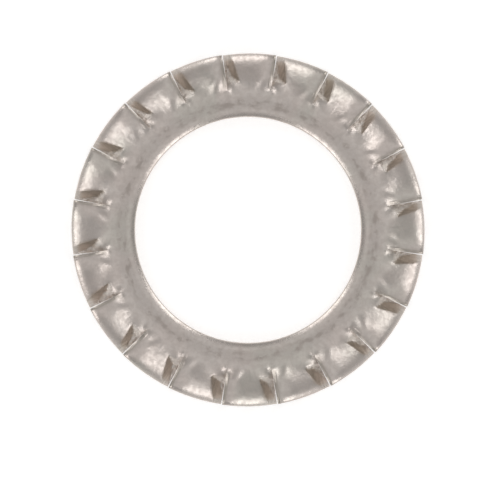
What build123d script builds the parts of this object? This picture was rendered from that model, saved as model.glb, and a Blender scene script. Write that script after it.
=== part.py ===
"""Toothed lock washer for an M20 screw, pressed from one piece of spring sheet.

A flat ring carries twenty teeth, parted by short radial slits. Each tooth is
twisted about its own radial line: seen from above, its clockwise side stands
up and its anticlockwise side hangs down. The twist is done close to the root
of the slits, and from there the tooth keeps its slope to the rim. The raised
side levels off to a crest along its slit. The punch that pushed the other side
down has left a steep facet, with a shelf between it and the root of the slit.
The underside has the same forms, turned over, so the washer works either way
up. Blanking has rolled the upper edges of the bore and of the rim.

Frame: +Z up along the axis of the bore, with the origin on that axis, in the
plane that the lowered teeth stand on. One tooth is centred on +X.
"""

import os
from math import cos, hypot, radians, sin, sqrt, tan

from build123d import *

os.makedirs("parts", exist_ok=True)

# Driving dimensions, in millimetres and degrees
bore_diameter = 21.1
outer_diameter = 33.0
sheet_thickness = 1.4
tooth_count = 20

# The washer's band is what lies between its bore and its rim
slit_share = 0.555  # share of the band's width that a slit cuts through, from the rim inwards
slit_width = 0.16

tooth_rise = 0.7  # how far a tooth's raised corner stands clear of the ring's face
twist_lead_share = 0.14  # share of the band's width from the slit's root in to where the twist begins
twist_run = 1.35  # from the slit's root out to where a tooth has its full slope
root_lap = 0.3  # how far a tooth reaches into the flat ring
early_share = 0.2  # share of the slope that it has halfway from there to the slit's root
root_share = 0.5  # at the root
late_share = 0.82  # and halfway from the root to the full slope
crest_width = 0.45  # the level crest beside the raised side's slit
bend_width = 1.3  # from that slit to where the slope begins to ease
eased_slope = 0.6  # share of the slope between the bend and the crest
trough_width = 1.0  # from the lowered side's slit to the lowest line at the root

facet_start = 0.7  # from the slit's root out to the facet's sharp inner tip
facet_width = 1.2  # from the slit to the crease, at that tip
facet_rim_width = 0.45  # from the slit to the crease, at the rim
facet_slope = 36.0
shelf_length = 2.5  # from the slit's root out to where the shelf runs out

roll_share = 0.185  # share of the band's width that the rolled upper edge of bore and rim takes
roll_shoulder = 0.4  # width of its steep part
shoulder_depth = 0.07  # how far the edge has dropped where that begins
edge_roll_depth = 0.32

# Sizes and places worked out from them
outer_radius = outer_diameter / 2
bore_radius = bore_diameter / 2
band_width = outer_radius - bore_radius
slit_depth = slit_share * band_width
edge_roll = roll_share * band_width
root_radius = outer_radius - slit_depth
ring_bottom = tooth_rise
ring_top = ring_bottom + sheet_thickness
ring_middle = (ring_bottom + ring_top) / 2
half_pitch = radians(180 / tooth_count)
root_x = root_radius * cos(half_pitch)
twist_start = root_x - twist_lead_share * band_width
twist_end = root_x + twist_run
past_rim_x = outer_radius + sheet_thickness / 2
twist_steps = [
    (twist_start, 0.0),
    ((twist_start + root_x) / 2, early_share),
    (root_x, root_share),
    ((root_x + twist_end) / 2, late_share),
    (twist_end, 1.0),
]


def meets_radius(inset, radius):
    """Distance along the tooth where a line beside its slit, that far in across the tooth, meets a radius."""
    across_line = inset * cos(half_pitch)
    return cos(half_pitch) * (inset * sin(half_pitch) + sqrt(radius**2 - across_line**2))


# The crest reaches the tooth's rise where it meets the rim
rim_crest_reach = meets_radius(crest_width, outer_radius) * tan(half_pitch)
tooth_slope = tooth_rise / (rim_crest_reach - bend_width + eased_slope * (bend_width - crest_width))


def slope_at(distance):
    """Slope across the tooth, as a rise per millimetre, at a distance out along it."""
    for (near, near_share), (far, far_share) in zip(twist_steps, twist_steps[1:]):
        if distance <= far:
            return tooth_slope * (near_share + (far_share - near_share) * (distance - near) / (far - near))
    return tooth_slope


def rolled(radius):
    """How far the rolled rim has dropped, at a distance from the axis."""
    steep = radius - (outer_radius - roll_shoulder)
    if steep > 0:
        return shoulder_depth + steep * (edge_roll_depth - shoulder_depth) / roll_shoulder
    return shoulder_depth * max(0.0, 1 + steep / (edge_roll - roll_shoulder))


def section_corners(distance=None, radius=None):
    """Ten corners round the tooth, at a distance along it or at a radius: the upper face's, then the lower's."""
    upper = []
    lower = []
    for side, inset in ((1, 0.0), (1, crest_width), (1, bend_width), (-1, trough_width), (-1, 0.0)):
        along = meets_radius(inset, radius) if radius else distance
        reach = along * tan(half_pitch)
        if inset == 0.0 and along <= root_x:
            rise = 0.0
        elif side > 0:
            eased_part = bend_width - max(inset, crest_width)
            rise = slope_at(along) * (reach - bend_width + eased_slope * eased_part)
        else:
            rise = -slope_at(along) * (reach - inset)
        across = side * (reach - inset)
        height = sheet_thickness / 2 + rise
        upper.append(Vector(along, -across, ring_middle + height - rolled(hypot(along, across))))
        lower.append(Vector(along, across, ring_middle - height))
    return upper + lower


# One tooth: flat at the ring, then sloped across, with its sides on the slits' middle lines
sections = [section_corners(distance=twist_start - root_lap)]
for step_distance, share in twist_steps:
    sections.append(section_corners(distance=step_distance))
for arc_radius in (outer_radius - edge_roll, outer_radius - roll_shoulder):
    sections.append(section_corners(radius=arc_radius))
sections.append(section_corners(distance=past_rim_x))

skin = [Face(Wire.make_polygon(sections[0])), Face(Wire.make_polygon(sections[-1]))]
for near, far in zip(sections, sections[1:]):
    for i in range(len(near)):
        after = (i + 1) % len(near)
        skin.append(Face(Wire.make_polygon([near[i], near[after], far[after]])))
        skin.append(Face(Wire.make_polygon([near[i], far[after], far[i]])))

with BuildPart() as tooth:
    add(Solid(Shell(skin)))
    with BuildSketch(Plane.XY.offset(-tooth_rise)):
        Circle(outer_radius)
    extrude(amount=ring_top + 3 * tooth_rise, mode=Mode.INTERSECT)

# The punch for the lowered side: a wedge that stands on the facet and the shelf
slit_line = Vector(cos(half_pitch), sin(half_pitch), 0)
into_tooth = Vector(sin(half_pitch), -cos(half_pitch), 0)
up = Vector(0, 0, 1)
slit_root = slit_line * root_radius + up * ring_top
tip_place = slit_root + slit_line * facet_start + into_tooth * facet_width
facet_tip = tip_place - up * slope_at(tip_place.X) * tip_place.Y
rim_place = slit_root + slit_line * slit_depth + into_tooth * facet_rim_width
facet_rim = rim_place - up * tooth_slope * rim_place.Y

crease = (facet_rim - facet_tip).normalized()
facet_fall = -into_tooth * cos(radians(facet_slope)) - up * sin(radians(facet_slope))
facet_plane = Plane(facet_tip, x_dir=crease, z_dir=crease.cross(facet_fall))

shelf_line = (facet_tip - slit_root).normalized()
shelf_end = slit_root + slit_line * shelf_length
shelf_drop = facet_plane.z_dir.dot(shelf_end - facet_tip) / facet_plane.z_dir.Z
shelf_fall = shelf_end - up * shelf_drop - slit_root
shelf_plane = Plane(facet_tip, x_dir=shelf_line, z_dir=shelf_line.cross(shelf_fall))

with BuildPart() as punch:
    with BuildSketch(facet_plane):
        Circle(2 * slit_depth)
    extrude(amount=slit_depth)
    with BuildSketch(shelf_plane):
        Circle(2 * slit_depth)
    extrude(amount=slit_depth, mode=Mode.INTERSECT)

# The slit beside the lowered side, as wide as the whole slit and twice as deep as the sheet
slit_middle = slit_line * (root_radius + slit_depth) + up * ring_middle
with BuildPart() as slit:
    with BuildSketch(Plane(slit_middle, x_dir=slit_line, z_dir=up)):
        Rectangle(2 * slit_depth, slit_width)
    extrude(amount=2 * sheet_thickness, both=True)

# The lower punch marks the raised side from below: the same wedge, turned over
with tooth:
    for cutter in (punch.part, slit.part):
        add(cutter, mode=Mode.SUBTRACT)
        add(cutter.rotate(Axis((0, 0, ring_middle), (1, 0, 0)), 180), mode=Mode.SUBTRACT)

# The washer: the flat ring with its rolled bore, and the teeth around it
with BuildPart() as lock_washer:
    with BuildSketch(Plane.XZ):
        with BuildLine():
            Polyline(
                (bore_radius, ring_bottom),
                (bore_radius, ring_top - edge_roll_depth),
                (bore_radius + roll_shoulder, ring_top - shoulder_depth),
                (bore_radius + edge_roll, ring_top),
                (twist_start, ring_top),
                (twist_start, ring_bottom),
                close=True,
            )
        make_face()
    revolve(axis=Axis.Z)
    with PolarLocations(0, tooth_count):
        add(tooth.part)

lock_washer.part.label = "lock_washer"
export_step(lock_washer.part, "parts/lock_washer.step")
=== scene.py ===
"""Toothed lock washer, dressed for rendering.

One closed mesh with smooth twisted teeth, rolled upper edges, punched facets and torn shelves
stands for the frame's plain solid. It is finished in dull stainless steel and lies on a white
table in a square light tent. Painted shade darkens its facets and the strips beside its slits,
and painted light brightens its torn shelves and sheared walls.
"""

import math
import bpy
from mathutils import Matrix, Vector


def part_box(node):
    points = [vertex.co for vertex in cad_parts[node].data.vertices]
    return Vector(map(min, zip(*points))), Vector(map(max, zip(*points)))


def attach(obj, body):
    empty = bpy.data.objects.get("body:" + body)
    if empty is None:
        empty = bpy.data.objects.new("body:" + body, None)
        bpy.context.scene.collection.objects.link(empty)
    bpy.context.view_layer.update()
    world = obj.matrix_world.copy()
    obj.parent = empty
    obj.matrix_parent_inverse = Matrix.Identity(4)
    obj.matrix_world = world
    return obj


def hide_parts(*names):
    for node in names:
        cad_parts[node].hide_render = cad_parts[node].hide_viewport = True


bl_info = {
    "name": "Toothed Lock Washer",
    "version": (1, 0, 0),
    "blender": (4, 5, 0),
    "location": "3D View > Sidebar > Lock Washer",
    "description": "Builds a toothed lock washer in dull stainless steel and a tent to light it",
    "category": "Object",
}

import bmesh
import bpy
import numpy as np
from bpy.props import FloatProperty, FloatVectorProperty, IntProperty, PointerProperty
from bpy.types import Operator, Panel, PropertyGroup
from mathutils import Vector, noise

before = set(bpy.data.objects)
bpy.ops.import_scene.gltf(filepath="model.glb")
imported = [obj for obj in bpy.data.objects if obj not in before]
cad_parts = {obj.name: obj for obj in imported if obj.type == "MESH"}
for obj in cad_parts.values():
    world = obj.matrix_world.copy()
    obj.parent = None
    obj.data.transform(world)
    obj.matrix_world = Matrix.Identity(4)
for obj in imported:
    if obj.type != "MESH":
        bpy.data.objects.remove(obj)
FRAME_LOW, FRAME_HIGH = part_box("lock_washer")
MM = 0.001


# Sizes and colours ------------------------------------------------------------------------------


def length_property(name, description, default):
    """A length in metres that the sidebar shows in the scene's unit."""
    return FloatProperty(
        name=name, description=description, default=default, min=0.0, unit="LENGTH", precision=5
    )


def colour_property(name, description, default):
    return FloatVectorProperty(
        name=name,
        description=description,
        default=default,
        size=3,
        min=0.0,
        max=1.0,
        subtype="COLOR",
    )


class WasherSizes(PropertyGroup):
    outer_diameter: length_property(
        "Outer Diameter", "Diameter over the teeth", FRAME_HIGH.x - FRAME_LOW.x
    )
    bore_diameter: length_property("Bore Diameter", "Diameter of the hole", 21.1 * MM)
    sheet: length_property("Sheet", "Thickness of the spring sheet", 1.4 * MM)
    tooth_rise: length_property(
        "Tooth Rise", "How far a tooth's raised corner stands over the ring", 0.7 * MM
    )
    twist_start: length_property(
        "Twist Start", "Distance from the axis where a tooth starts to twist", 12.3 * MM
    )
    twist_end: length_property(
        "Twist End", "Distance from the axis where a tooth has its full slope", 14.4 * MM
    )
    slit_depth: length_property(
        "Slit Depth", "How far a slit cuts in from the rim", 3.45 * MM
    )
    slit_mouth: length_property("Slit Mouth", "Width of a slit at the rim", 0.11 * MM)
    teeth: IntProperty(
        name="Teeth", description="Number of teeth round the rim", default=20, min=6, max=40
    )


class WasherColours(PropertyGroup):
    steel: colour_property(
        "Steel", "Colour of the dull stainless sheet", (0.70, 0.635, 0.590)
    )
    warm_drift: colour_property(
        "Warm Drift", "Colour where the sheet is faintly pink", (0.71, 0.632, 0.585)
    )
    cool_drift: colour_property(
        "Cool Drift", "Colour where the sheet is faintly green", (0.675, 0.628, 0.572)
    )
    # Stain also gives the painted shade beside the slits.
    stain_and_shade: colour_property(
        "Stain", "Colour of the dark specks, smudges and dirt", (0.48, 0.42, 0.38)
    )
    # Punched Steel is painted shade: it darkens the facets, which face the neighbouring tooth's
    # wall, and the scored strip on the raised side of each slit.
    punched: colour_property(
        "Punched Steel", "Colour of the facets that the punch has wiped", (0.47, 0.425, 0.375)
    )
    # Torn Steel is lighter than the steel as painted light, which brightens the torn shelves and
    # partly the sheared walls.
    torn: colour_property(
        "Torn Steel", "Colour of the torn and sheared places", (0.80, 0.74, 0.68)
    )


class WasherStage(PropertyGroup):
    table: colour_property("Table", "Colour of the table", (0.9, 0.9, 0.9))
    lamp_power: FloatProperty(
        name="Lamp Power",
        description="Power of each tent lamp",
        default=1.0,
        min=0.0,
        subtype="POWER",
    )
    camera_height: length_property(
        "Camera Height", "Height of the camera over the table", 0.6
    )


# Shape of one tooth, in millimetres -------------------------------------------------------------
# x runs out along the tooth's middle line, b across it towards the raised side. Heights are over
# the ring's upper face.

# A tooth's slope beside its raised side's slit, as (distance in from the slit, share of the full
# slope): it rolls over at the slit, crests, and then climbs less than the rest of the tooth.
CREST_PROFILE = (
    (0.0, -1.8),
    (0.05, -1.4),
    (0.11, -0.9),
    (0.2, -0.4),
    (0.33, 0.0),
    (0.55, 0.36),
    (0.75, 0.6),
    (1.0, 0.7),
    (1.25, 0.82),
    (1.5, 0.94),
    (1.75, 1.0),
)
# The rolled upper edges, as (distance in from the edge, slope)
BORE_PROFILE = (
    (0.0, 2.2),
    (0.05, 0.9),
    (0.1, 0.5),
    (0.18, 0.38),
    (0.38, 0.31),
    (0.58, 0.2),
    (0.8, 0.07),
    (1.1, 0.0),
)
RIM_PROFILE = (
    (0.0, 2.2),
    (0.04, 1.0),
    (0.1, 0.62),
    (0.22, 0.42),
    (0.4, 0.26),
    (0.7, 0.11),
    (1.1, 0.0),
)
EDGE_ROLL = 1.1  # width of those edges, within which the mesh is closer
PROFILE_STEPS = 240  # points at which a profile's slopes are added up

CREST_SPARE = 0.02  # keeps the crest a little under the tooth's full rise
TWIST_LEAD_IN = 0.5  # how far inside its named start the twist eases in
TWIST_RUN_OUT = 0.25  # how far past its named end it eases out
PARTING = 0.36  # distance from a slit's root at which a tooth has half its free height

# The teeth are gently crowned. The crown lies this far out, and fades towards the raised side: it
# is gone at that b, and full that much before it.
CROWN_OUT, CROWN_SPREAD, CROWN_HEIGHT = 14.9, 0.75, 0.08
CROWN_ENDS, CROWN_FADE = 2.0, 1.4

# The fold across a tooth's inner corner, where its raised side leaves the ring. Its two ends are
# given as x, b, and its peak and reach as shares of its length.
FOLD_INNER, FOLD_OUTER = (12.95, 0.5), (14.4, 1.6)
FOLD_HALF_WIDTH, FOLD_HEIGHT = 0.55, 0.085
FOLD_PEAK, FOLD_REACH = 0.6, 0.5
FOLD_CLEARS = 0.5  # the fold fades within this distance of a slit's root

# The facet is a steep plane beside the lowered side's slit. Its crease runs from a sharp inner
# tip, given out from the slit's root and in from the slit, to the rim.
FACET_TIP_OUT, FACET_TIP_IN = 0.65, 1.42
FACET_RIM_IN = 0.74
FACET_SLOPE = math.radians(40)
CREASE_BOW = 0.9  # a power under 1 bows the crease away from the slit

# The torn shelf lies between facet and slit. Its step runs from the facet's tip over a foot,
# given like the tip, to a point at the slit.
SHELF_FOOT_OUT, SHELF_FOOT_IN = 1.3, 0.6
SHELF_POINT = 16.3  # distance of that point from the axis
SHELF_SLOPE = math.tan(math.radians(4))
SHELF_LUMPS = 0.1  # height of its lumps
LUMPS_PER_MM = 3.6
TEAR_RUN = 0.55  # over this length facet and shelf run up into the unpunched face

SHELF_ROUND = 0.05  # rounding between facet and shelf
CREASE_ROUND = 0.03  # rounding of their edges in the tooth's face
FACET_FADE = 0.06  # the facet's painted shade gives way to the shelf's painted light over this difference in height and from the plain face over this depth
CUT_FADE = 0.04  # and from the plain face over this depth
FACET_SHADE_AT_SLIT = 0.3  # share of the facet's painted shade beside the slit, which is full at the crease

# Spread of each tooth's own differences, as shares of a named value or in millimetres
WEAR_SLOPE = 0.06
WEAR_RIM_IN = 0.22
WEAR_TIP_IN = 0.22
WEAR_TIP_OUT = 0.25
WEAR_SHELF_POINT = 1.6
WEAR_FOOT_IN = 0.3
WEAR_FACET_FALL = 0.25
WEAR_FOLD = 0.8
# The place in the noise that they are read from, and its steps by tooth and by difference
WEAR_START, WEAR_STEPS = (0.2, 0.5, 0.3), (1.37, 2.9)


def fallen(profile):
    """Distances in from an edge, and how far a face with those slopes has fallen at each."""
    distances, slopes = (np.array(c) for c in zip(*profile))
    fine = np.linspace(0, distances[-1], PROFILE_STEPS)
    falls = np.interp(fine, distances, slopes)
    steps = (falls[1:] + falls[:-1]) / 2 * np.diff(fine)
    return fine, np.append(np.cumsum(steps[::-1])[::-1], 0.0)


def roll_off(distance, profile):
    """Drop of a rolled upper edge, at that distance from it."""
    return np.interp(distance, *fallen(profile), right=0.0)


def ease(t):
    t = np.clip(t, 0, 1)
    return t * t * (3 - 2 * t)


def smooth_max(a, b, radius):
    """The higher of two heights, with the crease between them rounded."""
    h = np.clip(0.5 + 0.5 * (a - b) / radius, 0, 1)
    return b + (a - b) * h + radius * h * (1 - h)


class ToothShape:
    """Heights of the washer's upper face.

    The lower face is the same shape, turned over about the tooth's middle line.
    """

    def __init__(self, sizes):
        self.outer = sizes.outer_diameter / MM / 2
        self.bore = sizes.bore_diameter / MM / 2
        self.sheet = sizes.sheet / MM
        self.rise = sizes.tooth_rise / MM
        self.root = self.outer - sizes.slit_depth / MM
        self.mouth = sizes.slit_mouth / MM
        self.twist_from = sizes.twist_start / MM - TWIST_LEAD_IN
        self.twist_to = sizes.twist_end / MM + TWIST_RUN_OUT
        self.half_pitch = math.pi / sizes.teeth
        self.ring_top = self.rise + self.sheet
        self.insets, self.losses = fallen([(inset, 1 - share) for inset, share in CREST_PROFILE])
        lost = float(np.min(self.insets + self.losses))
        crest = self.outer * math.sin(self.half_pitch) - lost
        self.full_slope = self.rise / (crest + CREST_SPARE)
        self.wear_in(0)

    def wear_in(self, tooth):
        """Take on one tooth's own small differences, which come out the same each time."""
        (start, row, depth), (by_tooth, by_row) = WEAR_START, WEAR_STEPS
        slope, rim_in, tip_in, tip_out, foot, fall, fold = (
            noise.noise(Vector((tooth * by_tooth + start, i * by_row + row, depth)))
            for i in range(7)
        )
        self.slope = self.full_slope * (1 + WEAR_SLOPE * min(slope, 0))
        self.rim_in = FACET_RIM_IN + WEAR_RIM_IN * rim_in
        self.tip_in = FACET_TIP_IN + WEAR_TIP_IN * tip_in
        self.tip_out = self.root + FACET_TIP_OUT + WEAR_TIP_OUT * tip_out
        self.shelf_point = SHELF_POINT + WEAR_SHELF_POINT * min(foot, 0.0)
        self.foot_in = SHELF_FOOT_IN + WEAR_FOOT_IN * foot
        self.facet_fall = math.tan(FACET_SLOPE) * (1 + WEAR_FACET_FALL * fall)
        self.fold_height = FOLD_HEIGHT * (1 + WEAR_FOLD * fold)

    def half_angle(self, radius):
        """Angle from a tooth's middle line to its slit, which narrows to nothing at its root."""
        open_share = np.clip((radius - self.root) / (self.outer - self.root), 0, 1)
        return self.half_pitch - np.arcsin(self.mouth / 2 * open_share**2 / radius)

    def body(self, x, b):
        """The twisted tooth, before it is punched."""
        reach = x * math.tan(self.half_pitch)
        inset = np.clip(reach - b, 0, None)
        height = self.slope * ease((x - self.twist_from) / (self.twist_to - self.twist_from))
        height = height * (b - np.interp(inset, self.insets, self.losses, right=0.0))
        from_slit = np.clip(reach - np.abs(b), 0, None)
        opened = np.clip(np.hypot(x, b) - self.root, 0, None)
        held = from_slit**2 + opened**2
        height = height * held / (held + PARTING**2)
        crown = CROWN_HEIGHT * np.exp(-(((x - CROWN_OUT) / CROWN_SPREAD) ** 2) / 2)
        height = height + crown * ease((CROWN_ENDS - b) / CROWN_FADE)
        return height + self.fold(x, b) * ease(np.sqrt(held) / FOLD_CLEARS)

    def fold(self, x, b):
        """The short ridge across a tooth's inner corner on its raised side."""
        x0, b0 = FOLD_INNER
        run_x, run_b = FOLD_OUTER[0] - x0, FOLD_OUTER[1] - b0
        length = math.hypot(run_x, run_b)
        along = ((x - x0) * run_x + (b - b0) * run_b) / length**2
        aside = ((x - x0) * run_b - (b - b0) * run_x) / length
        ridge = self.fold_height * np.exp(-((aside / FOLD_HALF_WIDTH) ** 2))
        return ridge * np.exp(-(((along - FOLD_PEAK) / FOLD_REACH) ** 2))

    def punched(self, x, b):
        """What the punch leaves at a point beside the lowered side's slit.

        Gives the heights of facet and shelf, how fully they replace the tooth's own face there,
        and how near the point is to the crease: 0 at the slit and 1 at the crease.
        """
        out = x * math.cos(self.half_pitch) - b * math.sin(self.half_pitch)
        inward = x * math.sin(self.half_pitch) + b * math.cos(self.half_pitch)
        along = np.clip((self.outer - out) / (self.outer - self.tip_out), 0, 1)
        crease_in = self.rim_in + (self.tip_in - self.rim_in) * along**CREASE_BOW
        crease_out = self.outer - (self.outer - self.tip_out) * along
        crease = self.body(*self.from_slit(crease_out, crease_in))
        facet = crease - self.facet_fall * (crease_in - inward)
        step = (self.tip_out, self.root + SHELF_FOOT_OUT, self.shelf_point)
        step_in = np.interp(out, step, (self.tip_in, self.foot_in, 0.0))
        shelf_edge = crease - self.facet_fall * (crease_in - step_in)
        shelf = shelf_edge - SHELF_SLOPE * (step_in - inward)
        # Both start outside the line from the slit's root to the facet's tip.
        beyond = out - self.root - (self.tip_out - self.root) * inward / self.tip_in
        return facet, shelf, ease(beyond / TEAR_RUN), np.clip(inward / crease_in, 0, 1)

    def from_slit(self, out, inward):
        """The place x, b of a point given out along the lowered side's slit and in from it."""
        cos, sin = math.cos(self.half_pitch), math.sin(self.half_pitch)
        return out * cos + inward * sin, inward * cos - out * sin

    def upper_face(self, radius, angle, rolled=True):
        """Height at a radius and an angle from the tooth's middle line.

        Also gives the place's share of the facet's painted shade and of the shelf's torn finish
        with its painted light.
        """
        x, b = radius * np.cos(angle), radius * np.sin(angle)
        body = self.body(x, b)
        facet, shelf, replaced, near_crease = self.punched(x, b)
        punched = body + (smooth_max(facet, shelf, SHELF_ROUND) - body) * replaced
        # The row at the slit's root counts as beside the slit, however its radius was rounded.
        beside = (radius > self.root - 1e-6) & (b < 0)
        height = np.where(beside, -smooth_max(-body, -punched, CREASE_ROUND), body)
        depth = np.where(beside, body - punched, -1.0)
        # Shares of the facet's painted shade, darkest at the crease, and of the shelf's torn finish
        # with its painted light
        on_facet = np.clip(0.5 + (facet - shelf) / FACET_FADE, 0, 1)
        wiped = FACET_SHADE_AT_SLIT + (1 - FACET_SHADE_AT_SLIT) * near_crease
        cut = np.clip(depth / CUT_FADE, 0, 1)
        if rolled:
            height = height - roll_off(self.outer - radius, RIM_PROFILE)
            height = height - roll_off(radius - self.bore, BORE_PROFILE)
        return height, cut * on_facet * wiped, cut * (1 - on_facet)


# Mesh -------------------------------------------------------------------------------------------

# Rows of points from the bore's edge, across the ring, beside the slits, and to the rim's edge
BORE_ROWS, RING_ROWS, SLIT_ROWS, RIM_ROWS = 10, 12, 17, 11
# Columns from a slit to the crease, as shares of that width, and columns between the creases
CREASE_COLUMNS = (0.0, 0.05, 0.12, 0.22, 0.34, 0.48, 0.62, 0.76, 0.88, 0.95, 1.0)
MIDDLE_COLUMNS = 21
CREASE_GAP = 0.05  # millimetres from the crease to the next column
LEVELS = 4  # rows of points from the upper to the lower face of the sheet
SHELL_GAP = 0.004  # millimetres by which the mesh stays inside the frame's box in height
PATTERN_STEP = 7.3  # how far apart the teeth lie in the patterns, so that no two are alike
ANY_SHELF = 0.05  # share of the shelf's finish from which a place has lumps
SHARP_EDGE = math.radians(38)

# The teeth are punched a little off the ring's centre, by this angle and towards this side.
PUNCH_SHIFT = math.radians(1)
PUNCH_SIDE = math.radians(60)

FACE_STEEL, SHEARED_STEEL = 0, 1  # the washer's materials, by index


def rolled_steps(count):
    """Distances from a rolled edge that share out its bend evenly."""
    return [EDGE_ROLL * (1 - math.cos(math.pi / 2 * i / count)) for i in range(count + 1)]


def row_radii(shape):
    """Radii of the rows of points, from the bore to the rim, and the row at the slit's root."""
    bore = [shape.bore + d for d in rolled_steps(BORE_ROWS)]
    rim = [shape.outer - d for d in rolled_steps(RIM_ROWS)][::-1]
    ring = list(np.linspace(bore[-1], shape.root, RING_ROWS)[1:])
    beside_slit = list(np.linspace(shape.root, rim[0], SLIT_ROWS)[1:-1])
    return np.array(bore + ring + beside_slit + rim), len(bore) + len(ring) - 1


def column_angles(shape, radius):
    """Angles of one row's points across a tooth, from the lowered side to the raised one."""
    half = float(shape.half_angle(radius))
    crease_length = shape.outer - shape.root - FACET_TIP_OUT
    rim_share = 1 - min(1.0, max(0.0, (shape.outer - radius) / crease_length))
    crease = (FACET_TIP_IN + (FACET_RIM_IN - FACET_TIP_IN) * rim_share) / radius
    left = [-half + crease * share for share in CREASE_COLUMNS]
    middle = list(np.linspace(-half + crease, half - crease, MIDDLE_COLUMNS)[1:-1])
    middle[0] = -half + crease + CREASE_GAP / radius
    middle[-1] = half - crease - CREASE_GAP / radius
    return left + middle + [-a for a in left[::-1]]


def lock_washer_mesh(shape):
    """The closed mesh of the whole washer, in metres."""
    teeth = round(math.pi / shape.half_pitch)
    rows, root_row = row_radii(shape)
    angles = np.array([column_angles(shape, r) for r in rows])
    radii = np.repeat(rows[:, None], angles.shape[1], 1)
    last_row, last_column = len(rows) - 1, angles.shape[1] - 1
    faces_of = []
    for tooth in range(teeth):
        shape.wear_in(tooth)
        over, facet, shelf = shape.upper_face(radii, angles)
        under, low_facet, low_shelf = shape.upper_face(radii, -angles, rolled=False)
        top = np.minimum(shape.ring_top + over, FRAME_HIGH.z / MM - SHELL_GAP)
        bottom = np.maximum(shape.rise - under, SHELL_GAP)
        faces_of.append((top, bottom, facet, shelf, low_facet, low_shelf))
    bm = bmesh.new()
    place = bm.loops.layers.float_vector.new("tooth_place")
    zone = bm.verts.layers.float_vector.new("zone")
    made = {}

    def point(tooth, row, column, level):
        tooth %= teeth
        if row <= root_row and column == last_column:
            tooth, column = (tooth + 1) % teeth, 0
        key = (tooth, row, column, level)
        if key not in made:
            top, bottom, facet, shelf, low_facet, low_shelf = faces_of[tooth]
            r, angle = rows[row], angles[row, column]
            share = level / (LEVELS - 1)
            height = top[row, column] * (1 - share) + bottom[row, column] * share
            if level == 0 and shelf[row, column] > ANY_SHELF:
                where = Vector((angle * r, r, tooth * PATTERN_STEP)) * LUMPS_PER_MM
                height += SHELF_LUMPS * float(shelf[row, column]) * noise.noise(where)
            # Teeth are counted clockwise as seen from above, and the raised side is clockwise.
            turn = -(angle + 2 * shape.half_pitch * tooth)
            turn -= PUNCH_SHIFT * math.sin(turn - PUNCH_SIDE)
            vertex = bm.verts.new((r * math.cos(turn) * MM, r * math.sin(turn) * MM, height * MM))
            if level == 0:
                vertex[zone] = (facet[row, column], shelf[row, column], 0.0)
            elif level == LEVELS - 1:
                vertex[zone] = (low_facet[row, column], low_shelf[row, column], 0.0)
            made[key] = vertex
        return made[key]

    def face(corners, material):
        made_face = bm.faces.new([point(*c) for c in corners])
        made_face.smooth = True
        made_face.material_index = material
        for loop, (tooth, row, column, level) in zip(made_face.loops, corners):
            across = angles[row, column] * rows[row]
            loop[place] = (across, rows[row], tooth * PATTERN_STEP + level)

    def wall(tooth, near, far, turned):
        """Four-cornered faces down the sheet's edge, between two points given as row, column."""
        for level in range(LEVELS - 1):
            corners = [
                (tooth, *near, level),
                (tooth, *near, level + 1),
                (tooth, *far, level + 1),
                (tooth, *far, level),
            ]
            face(corners[::-1] if turned else corners, SHEARED_STEEL)

    for tooth in range(teeth):
        for row in range(last_row):
            for c in range(last_column):
                square = [(row, c), (row, c + 1), (row + 1, c + 1), (row + 1, c)]
                face([(tooth, *p, 0) for p in square], FACE_STEEL)
                face([(tooth, *p, LEVELS - 1) for p in square[::-1]], FACE_STEEL)
        for c in range(last_column):
            wall(tooth, (0, c), (0, c + 1), False)
            wall(tooth, (last_row, c), (last_row, c + 1), True)
        for row in range(root_row, last_row):
            wall(tooth, (row, 0), (row + 1, 0), True)
            wall(tooth, (row, last_column), (row + 1, last_column), False)
    bmesh.ops.recalc_face_normals(bm, faces=bm.faces[:])
    mesh = bpy.data.meshes.new("toothed_ring")
    bm.to_mesh(mesh)
    bm.free()
    mesh.set_sharp_from_angle(angle=SHARP_EDGE)
    return mesh


# Steel ------------------------------------------------------------------------------------------
# Sizes are those of a pattern's features in millimetres. A pair gives where something starts and
# where it is full: of a pattern's own values between 0 and 1, or of distances in millimetres.

WARM_DRIFT_SIZE, WARM_DRIFT = 3.2, (0.4, 0.66)
COOL_DRIFT_SIZE, COOL_DRIFT = 4.5, (0.5, 0.72)
MOTTLE_SIZE, MOTTLE, MOTTLE_SHARE = 0.42, (0.38, 0.64), 0.3

# Dark specks, drawn out round the ring where the washer has been clamped, and stray ones
CLAMPED_FROM, CLAMPED_TO = (11.15, 11.6), (12.4, 11.9)
SPECK_SIZE, SPECKS = 0.55, (0.47, 0.68)
SPECK_ROUND = 6.5  # the radius at which a speck is as long as it is wide
SPECK_SHARE, STRAY_SPECK_SHARE = 0.75, 0.08

# The smudge on each tooth's share of the ring: its place across the tooth and out from the axis
SMUDGE_AT = (-0.87, 12.05, 0)
SMUDGE_SQUEEZE = (1, 1.5, 0)
SMUDGE_EDGE = (0.62, 0.12)
SMUDGE_GRAIN_SIZE, SMUDGE_GRAIN, SMUDGE_SHARE = 0.25, (0.36, 0.6), 0.75

# Blotches of the torn colour, which is lightened as painted light, and its share on the sheared
# walls
TORN_SIZE, TORN_BLOTCHES, TORN_LIGHT_SHARES = 0.3, (0.35, 0.65), (0.25, 0.9)
SHEARED_LIGHT_SHARE = 0.6

# Painted shade beside the slits, and the scored edge of the raised side, darkened by painted shade
# too: distances from slit and axis
SLIT_SHADE_BESIDE, SLIT_SHADE_FROM = (0.6, 0.12), (12.9, 13.6)
SLIT_SHADE_SIZE, SLIT_SHADE_BLOTCHES, SLIT_SHADE_SHARES = 0.3, (0.3, 0.7), (0.2, 0.75)
SCORED_SHADE_BESIDE, SCORED_SHADE_FROM = (0.4, 0.24), (13.1, 13.9)
RAISED_SIDE = (0.0, 0.5)

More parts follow.
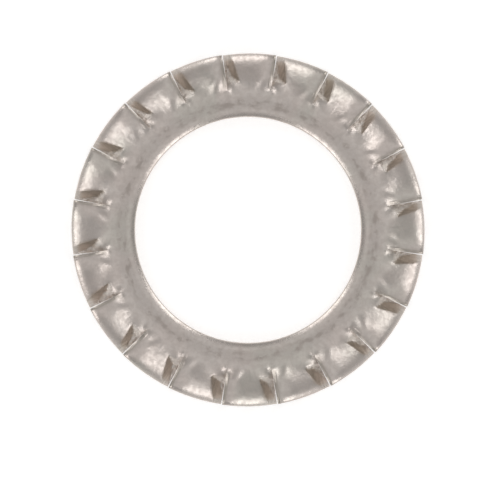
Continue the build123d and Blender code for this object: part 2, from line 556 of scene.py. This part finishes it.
# Stripes that the punch has drawn along the facets: a millimetre holds seven across the tooth, and
# they run on for two out along it. The last number only sets the teeth apart.
STRIPE_LINES = (7.0 * MM, 0.5 * MM, 11.0 * MM)
# Shares of painted shade on the facets and on the scored raised side, spread over the stripes
FACET_STRIPES, FACET_SHADE_SHARES = (0.36, 0.64), (0.45, 1.0)
SCORED_STRIPES, SCORED_SHADE_SHARES = (0.38, 0.6), (0.35, 1.0)

# Relief, which is lower on the polished edges, and roughness
POLISHED_BORE, POLISHED_RIM, RIM_POLISH = (11.0, 10.7), (16.0, 16.3), 0.5
RELIEF = 0.02 * MM
DENT_SIZE, DENT_HEIGHT, DENT_POLISHED = 0.4, 0.8, -0.6
GRAIN_SIZE, GRAIN_HEIGHT = 0.16, 0.3
STRIPE_HEIGHT = 1.6
LUMP_SIZE, LUMP_HEIGHT = 0.22, 4.0
ROUGHNESS = (0.29, 0.35)
TORN_ROUGHER, EDGES_SMOOTHER = 0.12, -0.07


class NodeBench:
    """Adds nodes to a material or world, each with its inputs by name."""

    def __init__(self, tree):
        self.tree = tree
        tree.nodes.clear()

    def add(self, kind, inputs=None, **settings):
        node = self.tree.nodes.new("ShaderNode" + kind)
        for name, value in settings.items():
            setattr(node, name, value)
        for name, value in (inputs or {}).items():
            socket = node.inputs[name]
            if isinstance(value, bpy.types.NodeSocket):
                self.tree.links.new(value, socket)
            else:
                socket.default_value = value
        return node


def steel_material(colours, name, slit_bearing, sheared):
    """Dull stainless sheet: tumbled and faintly stained, torn and striped by the punch, with
    painted shade on its facets and beside its slits and painted light on its torn places.
    """
    material = bpy.data.materials.new(name)
    material.use_nodes = True
    add = NodeBench(material.node_tree).add

    def cloud(at, size, detail=2.0, unit=MM):
        """Noise between 0 and 1, with features of that size."""
        texture = add("TexNoise", {"Vector": at, "Scale": 1 / (size * unit), "Detail": detail})
        return texture.outputs["Fac"]

    def between(value, start, full, low=0.0, high=1.0):
        """How far the value has got from its start to full, spread from low to high."""
        limits = {"From Min": start, "From Max": full, "To Min": low, "To Max": high}
        spread = add("MapRange", {"Value": value, **limits}, interpolation_type="SMOOTHSTEP")
        return spread.outputs["Result"]

    def times(a, b):
        return add("Math", {0: a, 1: b}, operation="MULTIPLY").outputs[0]

    def plus(a, b):
        return add("Math", {0: a, 1: b}, operation="ADD").outputs[0]

    def vector(operation, a, b=None):
        inputs = {0: a} if b is None else {0: a, 1: b}
        return add("VectorMath", inputs, operation=operation).outputs

    def blend(share, under, over):
        under, over = (
            c if isinstance(c, bpy.types.NodeSocket) else (*c, 1) for c in (under, over)
        )
        mixed = add("MixRGB", {"Fac": share, "Color1": under, "Color2": over})
        return mixed.outputs["Color"]

    at = add("TexCoord").outputs["Object"]
    # A point's place on its tooth: across it, out from the axis, and the tooth's own number, in
    # millimetres. Its zone says how much of the facet's painted shade and of the shelf's torn
    # finish with its painted light it has.
    place = add("Attribute", attribute_name="tooth_place").outputs["Vector"]
    zone = add("SeparateXYZ", {"Vector": add("Attribute", attribute_name="zone").outputs["Vector"]})
    facet, shelf = zone.outputs["X"], zone.outputs["Y"]
    where = add("SeparateXYZ", {"Vector": place})
    across, radius = where.outputs["X"], where.outputs["Y"]
    stripes = cloud(vector("MULTIPLY", place, STRIPE_LINES)[0], 1.0, 3.0)

    # Broad drifts, a mottled bloom, and specks
    warm = between(cloud(at, WARM_DRIFT_SIZE), *WARM_DRIFT)
    colour = blend(warm, colours.steel, colours.warm_drift)
    cool = between(cloud(at, COOL_DRIFT_SIZE, 1.0), *COOL_DRIFT)
    colour = blend(cool, colour, colours.cool_drift)
    mottle = between(cloud(at, MOTTLE_SIZE, 5.0), *MOTTLE)
    colour = blend(times(mottle, MOTTLE_SHARE), colour, colours.stain_and_shade)
    clamped = times(between(radius, *CLAMPED_FROM), between(radius, *CLAMPED_TO))
    bearing = vector("NORMALIZE", vector("MULTIPLY", at, (1, 1, 0))[0])[0]
    drawn_out = vector("MULTIPLY", bearing, (SPECK_ROUND * MM, SPECK_ROUND * MM, 0))[0]
    outwards = add("CombineXYZ", {"Z": times(radius, MM)}).outputs[0]
    specks = between(cloud(vector("ADD", drawn_out, outwards)[0], SPECK_SIZE, 4.0), *SPECKS)
    specks = times(specks, plus(times(clamped, SPECK_SHARE), STRAY_SPECK_SHARE))
    colour = blend(specks, colour, colours.stain_and_shade)

    # In a stack, each tooth of the washer above has rubbed a smudge on the ring.
    from_smudge = vector("SUBTRACT", place, SMUDGE_AT)[0]
    smudge_reach = vector("LENGTH", vector("MULTIPLY", from_smudge, SMUDGE_SQUEEZE)[0])["Value"]
    smudge_grain = between(cloud(at, SMUDGE_GRAIN_SIZE, 4.0), *SMUDGE_GRAIN)
    smudge = times(between(smudge_reach, *SMUDGE_EDGE), smudge_grain)
    colour = blend(times(smudge, SMUDGE_SHARE), colour, colours.stain_and_shade)
    # Painted light brightens the torn shelf, in blotches of the lighter torn colour.
    blotches = between(cloud(place, TORN_SIZE, 4.0, unit=1), *TORN_BLOTCHES, *TORN_LIGHT_SHARES)
    colour = blend(times(shelf, blotches), colour, colours.torn)

    # Painted shade darkens both sides of a slit, and its raised side is scored along it and
    # darkened by painted shade.
    off_middle = add("Math", {0: across}, operation="ABSOLUTE").outputs[0]
    from_slit = plus(times(radius, slit_bearing), times(off_middle, -1.0))
    slit_shade = times(between(from_slit, *SLIT_SHADE_BESIDE), between(radius, *SLIT_SHADE_FROM))
    blotches = between(cloud(at, SLIT_SHADE_SIZE, 3.0), *SLIT_SHADE_BLOTCHES, *SLIT_SHADE_SHARES)
    colour = blend(times(slit_shade, blotches), colour, colours.stain_and_shade)
    # Painted shade darkens the facets, most at the crease, in the punch's stripes.
    wiped = times(facet, between(stripes, *FACET_STRIPES, *FACET_SHADE_SHARES))
    colour = blend(wiped, colour, colours.punched)
    # The sheared walls take part of the torn colour and its painted light.
    if sheared:
        colour = blend(SHEARED_LIGHT_SHARE, colour, colours.torn)
    # Painted shade darkens the raised side's strip beside the slit in the punch's stripes; the
    # stripes are also relief.
    scored_and_shaded = times(between(from_slit, *SCORED_SHADE_BESIDE), between(across, *RAISED_SIDE))
    scored_and_shaded = times(scored_and_shaded, between(radius, *SCORED_SHADE_FROM))
    drawn = times(scored_and_shaded, between(stripes, *SCORED_STRIPES, *SCORED_SHADE_SHARES))
    colour = blend(drawn, colour, colours.punched)

    # Tumbling leaves the rolled edges smoother than the faces.
    edges = plus(between(radius, *POLISHED_BORE), times(between(radius, *POLISHED_RIM), RIM_POLISH))
    dents = times(cloud(at, DENT_SIZE, 2.0), plus(DENT_HEIGHT, times(edges, DENT_POLISHED)))
    height = plus(dents, times(cloud(at, GRAIN_SIZE, 4.0), GRAIN_HEIGHT))
    height = plus(height, times(times(plus(facet, scored_and_shaded), stripes), STRIPE_HEIGHT))
    lumps = cloud(place, LUMP_SIZE, 4.0, unit=1)
    height = plus(height, times(times(shelf, lumps), LUMP_HEIGHT))
    bump = add("Bump", {"Strength": 1.0, "Distance": RELIEF, "Height": height})
    roughness = plus(between(mottle, 0.0, 1.0, *ROUGHNESS), times(shelf, TORN_ROUGHER))
    roughness = plus(roughness, times(edges, EDGES_SMOOTHER))
    shader = add(
        "BsdfPrincipled",
        {
            "Base Color": colour,
            "Metallic": 1.0,
            "Roughness": roughness,
            "Normal": bump.outputs["Normal"],
        },
    )
    add("OutputMaterial", {"Surface": shader.outputs["BSDF"]})
    return material


# Table, tent and camera -------------------------------------------------------------------------

TABLE_HALF = 0.6  # metres
TABLE_GLOW = 0.45  # lifts the table to white where it is seen, directly or in the steel

# Brightness of the tent's cloth over its height, as (degrees from straight up, brightness): it is
# dark at the camera's opening, bright round it, dim behind the lamps and bright again low down.
TENT_WALL = (
    (0, 0.39),
    (10, 0.58),
    (20, 0.74),
    (34, 0.38),
    (50, 0.3),
    (62, 0.6),
    (76, 0.75),
    (90, 0.6),
)
# The lamps hang a metre from the washer, behind the tent's corners.
LAMPS = 4
LAMP_TILT = math.radians(50)  # from straight up
LAMP_SPREAD = math.radians(14)  # half the angle that a lamp fills, seen from the washer

CAMERA_AT = (-0.750 * MM, -0.945 * MM)
SENSOR = 36.0  # millimetres
RING_TOP = 2.1 * MM  # height of the ring's upper face over the table
PICTURE_WIDTH = 480 / 10.7107 * MM  # what the picture's width covers at that height
CAMERA_REACH = 5.0


def table_material(colour):
    """White, and lifted by a glow for what sees it, so that the washer's shadow stays."""
    material = bpy.data.materials.new("white_table")
    material.use_nodes = True
    add = NodeBench(material.node_tree).add
    rays = add("LightPath").outputs
    seen = add("Math", {0: rays["Is Camera Ray"], 1: rays["Is Glossy Ray"]}, operation="ADD")
    seen = add(
        "Math",
        {0: seen.outputs[0], 1: rays["Is Transmission Ray"]},
        operation="ADD",
        use_clamp=True,
    )
    shaded = add("BsdfDiffuse", {"Color": (*colour, 1)})
    glow = add("Emission", {"Color": (1, 1, 1, 1), "Strength": TABLE_GLOW})
    lifted = add("AddShader", {0: shaded.outputs[0], 1: glow.outputs[0]})
    mixed = add("MixShader", {"Fac": seen.outputs[0], 1: shaded.outputs[0], 2: lifted.outputs[0]})
    add("OutputMaterial", {"Surface": mixed.outputs[0]})
    return material


def lay_table(scene, stage):
    bm = bmesh.new()
    bmesh.ops.create_grid(bm, x_segments=2, y_segments=2, size=TABLE_HALF)
    mesh = bpy.data.meshes.new("table")
    bm.to_mesh(mesh)
    bm.free()
    mesh.materials.append(table_material(stage.table))
    table = bpy.data.objects.new("table", mesh)
    scene.collection.objects.link(table)


def hang_lamp(scene, index, stage):
    """A round lamp behind one corner of the square tent."""
    turn = math.radians(45 + 90 * index)
    light = bpy.data.lights.new(f"tent_lamp_{index}", "AREA")
    light.shape = "DISK"
    light.size = 2 * math.tan(LAMP_SPREAD)
    light.energy = stage.lamp_power
    lamp = bpy.data.objects.new(light.name, light)
    low = math.sin(LAMP_TILT)
    away = Vector((math.cos(turn) * low, math.sin(turn) * low, math.cos(LAMP_TILT)))
    lamp.location = away
    lamp.rotation_euler = away.to_track_quat("Z", "Y").to_euler()
    scene.collection.objects.link(lamp)


def tent_world():
    """The tent's cloth."""
    world = bpy.data.worlds.new("light_tent")
    world.use_nodes = True
    add = NodeBench(world.node_tree).add
    direction = add("SeparateXYZ", {"Vector": add("TexCoord").outputs["Generated"]})
    wall = add("ValToRGB", {"Fac": direction.outputs["Z"]})
    stops = wall.color_ramp.elements
    for place, (degrees, level) in enumerate(reversed(TENT_WALL)):
        position = math.cos(math.radians(degrees))
        # A new ramp already has two stops.
        stop = stops[place] if place < 2 else stops.new(position)
        stop.position = position
        stop.color = (level, level, level, 1)
    background = add("Background", {"Color": wall.outputs["Color"], "Strength": 1.0})
    add("OutputWorld", {"Surface": background.outputs["Background"]})
    return world


def set_camera(scene, stage):
    """A camera straight over the table, a little off the washer's axis."""
    lens = bpy.data.cameras.new("camera")
    lens.sensor_width = SENSOR
    lens.lens = SENSOR * (stage.camera_height - RING_TOP) / PICTURE_WIDTH
    lens.clip_end = CAMERA_REACH
    camera = bpy.data.objects.new("camera", lens)
    camera.location = (*CAMERA_AT, stage.camera_height)
    scene.collection.objects.link(camera)
    scene.camera = camera


# Operators --------------------------------------------------------------------------------------


class WASHER_OT_build_lock_washer(Operator):
    """Build the washer's twisted, punched teeth and its ring as one closed mesh"""

    bl_idname = "washer.build_lock_washer"
    bl_label = "Build Lock Washer"
    bl_options = {"REGISTER", "UNDO"}

    def execute(self, context):
        shape = ToothShape(context.scene.washer_sizes)
        mesh = lock_washer_mesh(shape)
        washer = bpy.data.objects.new("lock_washer_dressed", mesh)
        context.scene.collection.objects.link(washer)
        colours = context.scene.washer_colours
        # In the order of FACE_STEEL and SHEARED_STEEL
        for name, sheared in (("dull_stainless", False), ("sheared_stainless", True)):
            mesh.materials.append(steel_material(colours, name, shape.half_pitch, sheared))
        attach(washer, "root")
        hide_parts("lock_washer")
        return {"FINISHED"}


class WASHER_OT_set_stage(Operator):
    """Lay the white table and set up the tent lamps and the camera"""

    bl_idname = "washer.set_stage"
    bl_label = "Set Stage"
    bl_options = {"REGISTER", "UNDO"}

    def execute(self, context):
        scene = context.scene
        stage = scene.washer_stage
        scene.view_settings.view_transform = "Standard"
        lay_table(scene, stage)
        for index in range(LAMPS):
            hang_lamp(scene, index, stage)
        scene.world = tent_world()
        set_camera(scene, stage)
        return {"FINISHED"}


# Sidebar ----------------------------------------------------------------------------------------


class WASHER_PT_sidebar(Panel):
    bl_idname = "WASHER_PT_sidebar"
    bl_label = "Toothed Lock Washer"
    bl_space_type = "VIEW_3D"
    bl_region_type = "UI"
    bl_category = "Lock Washer"

    def draw(self, context):
        scene = context.scene
        for group, operator in (
            (scene.washer_sizes, WASHER_OT_build_lock_washer),
            (scene.washer_colours, None),
            (scene.washer_stage, WASHER_OT_set_stage),
        ):
            box = self.layout.box()
            for name in group.__annotations__:
                box.prop(group, name)
            if operator:
                box.operator(operator.bl_idname)


CLASSES = (
    WasherSizes,
    WasherColours,
    WasherStage,
    WASHER_OT_build_lock_washer,
    WASHER_OT_set_stage,
    WASHER_PT_sidebar,
)


def register():
    for c in CLASSES:
        bpy.utils.register_class(c)
    bpy.types.Scene.washer_sizes = PointerProperty(type=WasherSizes)
    bpy.types.Scene.washer_colours = PointerProperty(type=WasherColours)
    bpy.types.Scene.washer_stage = PointerProperty(type=WasherStage)


def unregister():
    del bpy.types.Scene.washer_stage
    del bpy.types.Scene.washer_colours
    del bpy.types.Scene.washer_sizes
    for c in reversed(CLASSES):
        bpy.utils.unregister_class(c)


def main():
    register()
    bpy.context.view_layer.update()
    bpy.ops.washer.build_lock_washer()
    bpy.ops.washer.set_stage()


if __name__ == "__main__":
    main()
